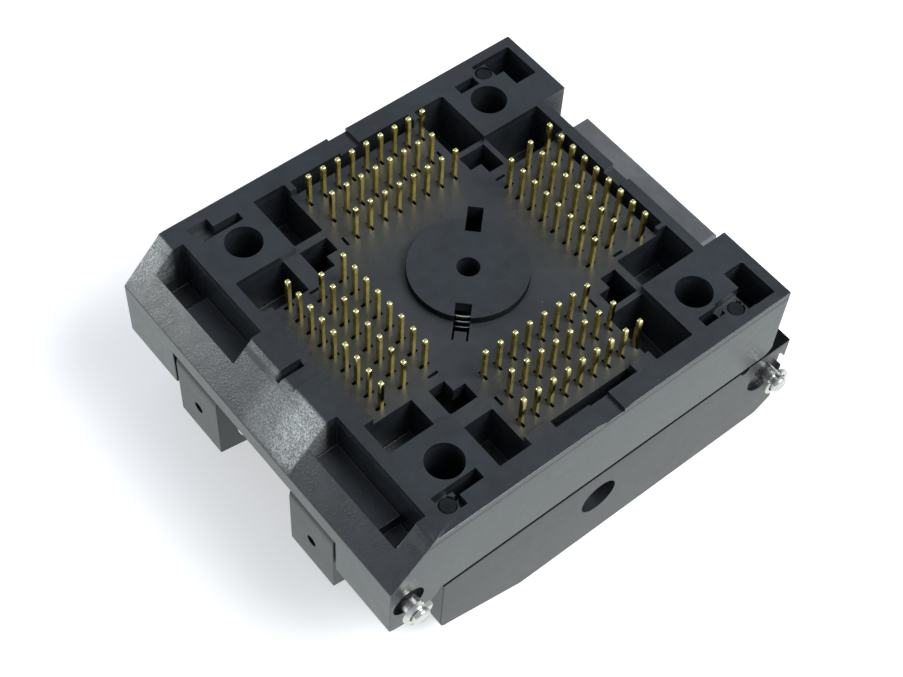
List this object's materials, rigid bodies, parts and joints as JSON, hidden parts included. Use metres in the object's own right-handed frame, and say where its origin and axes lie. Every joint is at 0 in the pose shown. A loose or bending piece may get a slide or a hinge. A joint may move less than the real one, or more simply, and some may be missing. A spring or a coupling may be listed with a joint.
{
  "type": "ic test socket",
  "caption": "Clamshell test socket for a quad flat pack, black moulded plastic, gold contact tails in four banks, sprung lid latch, lying closed on its lid",
  "frame": {"origin": "on the lid's flat outer face, under the centre of the contact field", "axes": "+X along the hinge shaft, +Y from the hinge towards the latch, +Z from the lid's outer face up to the contact tails"},
  "size_m": [0.0396, 0.044, 0.0221],
  "materials": {
    "housing": "glass-filled moulded plastic, near black, satin",
    "cover": "glass-filled moulded plastic, near black, satin",
    "inner": "moulded plastic, black, satin",
    "latch": "moulded plastic, dark grey, satin",
    "steel": "turned and stamped steel, bright",
    "spring": "drawn spring wire, bright",
    "contact": "gold plate over nickel, bright"
  },
  "bodies": {
    "lid_body": {"lid": "cover", "hinge_shaft": "steel", "hinge_ring": "steel", "hinge_spring": "spring", "latch_shaft": "steel", "latch_ring_left": "steel", "latch_ring_right": "steel", "latch_spring": "spring", "pad_spring_1": "spring", "pad_spring_2": "spring", "pad_spring_3": "spring", "pad_spring_4": "spring", "pad_screw_1": "steel", "pad_screw_2": "steel", "pad_screw_3": "steel", "pad_screw_4": "steel"},
    "base_body": {"base_housing": "housing", "contact_guide": "inner", "stage_spring": "spring"},
    "latch_body": {"latch_lever": "latch"},
    "pad_body": {"pressure_pad": "inner"},
    "stage_body": {"package_stage": "inner"}
  },
  "joints": [
    {"name": "lid_hinge", "type": "hinge", "parent": "lid_body", "child": "base_body", "pos_m": [0, -0.0202, 0.01225], "axis": [1, 0, 0], "range_deg": [0, 64]},
    {"name": "latch_hinge", "type": "hinge", "parent": "lid_body", "child": "latch_body", "pos_m": [0, 0.0199, 0.007], "axis": [-1, 0, 0], "range_deg": [0, 20], "stiffness_Nm_per_rad": 0.02, "springref_deg": -11.46, "deforming": ["latch_spring"]},
    {"name": "pad_slide", "type": "slide", "parent": "lid_body", "child": "pad_body", "axis": [0, 0, 1], "range_m": [-0.0008, 0], "stiffness_N_per_m": 800, "springref_m": 0.001, "deforming": ["pad_spring_1", "pad_spring_2", "pad_spring_3", "pad_spring_4"]},
    {"name": "stage_slide", "type": "slide", "parent": "base_body", "child": "stage_body", "axis": [0, 0, 1], "range_m": [0, 0.0006], "stiffness_N_per_m": 400, "springref_m": -0.001, "deforming": ["stage_spring"]}
  ]
}
